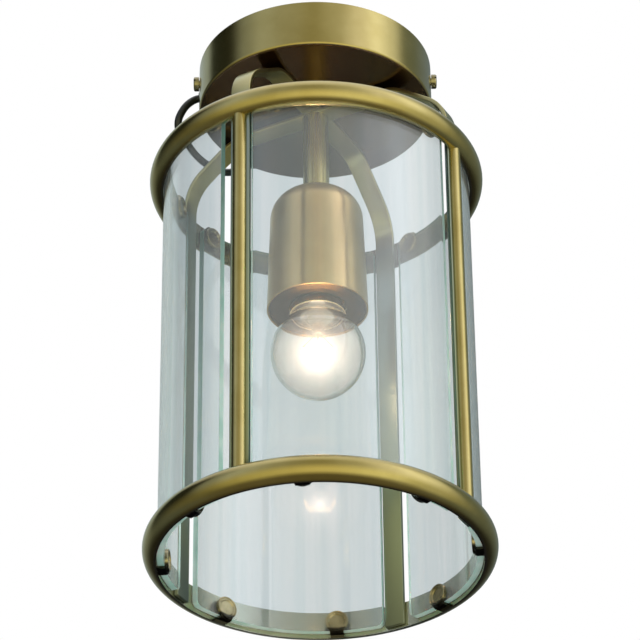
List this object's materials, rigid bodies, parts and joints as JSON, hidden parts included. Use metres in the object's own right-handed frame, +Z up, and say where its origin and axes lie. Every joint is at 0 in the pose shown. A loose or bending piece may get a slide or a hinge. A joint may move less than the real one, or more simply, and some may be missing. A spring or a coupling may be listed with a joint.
{
  "type": "porch ceiling lantern",
  "caption": "Cylindrical ceiling lantern with two brass rings, four bent-glass panes, crossed straps, a canopy and a bare bulb in a holder.",
  "frame": {"origin": "middle of the two ceiling screw holes, on the ceiling face of the bracket", "axes": "+Z up into the ceiling, the lantern hangs towards -Z; the two ceiling holes lie along X; -Y is the front seen in the picture"},
  "size_m": [0.162, 0.162, 0.277],
  "materials": {
    "antique_brass": "satin bronzed",
    "strap_brass": "satin bronzed",
    "clip_brass": "satin",
    "satin_brass": "satin brushed",
    "zinc_steel": "zinc plated",
    "screw_brass": "satin",
    "pane_glass": "clear, polished edges",
    "black_rubber": "moulded",
    "black_flex": "extruded sheath",
    "block_polyamide": "moulded",
    "contact_brass": "plain",
    "brown_insulation": "extruded",
    "blue_insulation": "extruded",
    "green_insulation": "extruded",
    "porcelain": "glazed porcelain",
    "bulb_clear_glass": "clear blown",
    "nickel_cap": "nickel plated",
    "black_glass": "fused",
    "filament_wire": "drawn wire"
  },
  "bodies": {
    "bracket": {"ceiling_bracket": "zinc_steel"},
    "lantern": {"canopy": "antique_brass", "cord_gland_side": "black_rubber", "cord_gland_rear": "black_rubber", "feed_cord": "black_flex", "terminal_block": "block_polyamide", "terminal_block_screws": "contact_brass", "live_wire": "brown_insulation", "neutral_wire": "blue_insulation", "earth_wire": "green_insulation", "earth_stud": "zinc_steel", "threaded_nipple": "zinc_steel", "nipple_washer": "zinc_steel", "nipple_nut": "zinc_steel", "stem_tube": "antique_brass", "strap_upper": "strap_brass", "strap_lower": "strap_brass", "top_ring": "antique_brass", "bottom_ring": "antique_brass", "top_clips": "clip_brass", "bottom_clips": "clip_brass", "holder_sleeve": "satin_brass", "sleeve_nut": "zinc_steel", "holder_flange": "zinc_steel", "holder_screws": "zinc_steel", "porcelain_body": "porcelain", "holder_terminals": "contact_brass", "screw_shell": "contact_brass", "centre_contact": "contact_brass", "upright_rod_front_left": "antique_brass", "upright_rod_front_right": "antique_brass", "upright_rod_rear_right": "antique_brass", "upright_rod_rear_left": "antique_brass", "glass_pane_front": "pane_glass", "glass_pane_right": "pane_glass", "glass_pane_rear": "pane_glass", "glass_pane_left": "pane_glass"},
    "bulb": {"bulb_glass": "bulb_clear_glass", "bulb_cap": "nickel_cap", "bulb_insulator": "black_glass", "bulb_eyelet": "nickel_cap", "bulb_mount": "bulb_clear_glass", "bulb_supports": "filament_wire", "bulb_filament": "filament_wire"},
    "screw_right": {"side_screw_right": "screw_brass"},
    "screw_left": {"side_screw_left": "screw_brass"}
  },
  "joints": [
    {"name": "lantern_drop", "type": "slide", "parent": "bracket", "child": "lantern", "axis": [0, 0, -1], "range_m": [0, 0.04]},
    {"name": "bulb_withdraw", "type": "slide", "parent": "lantern", "child": "bulb", "axis": [0, 0, -1], "range_m": [0, 0.165]},
    {"name": "screw_right_back_out", "type": "slide", "parent": "bracket", "child": "screw_right", "axis": [1, 0, 0], "range_m": [0, 0.005]},
    {"name": "screw_left_back_out", "type": "slide", "parent": "bracket", "child": "screw_left", "axis": [-1, 0, 0], "range_m": [0, 0.005]}
  ]
}
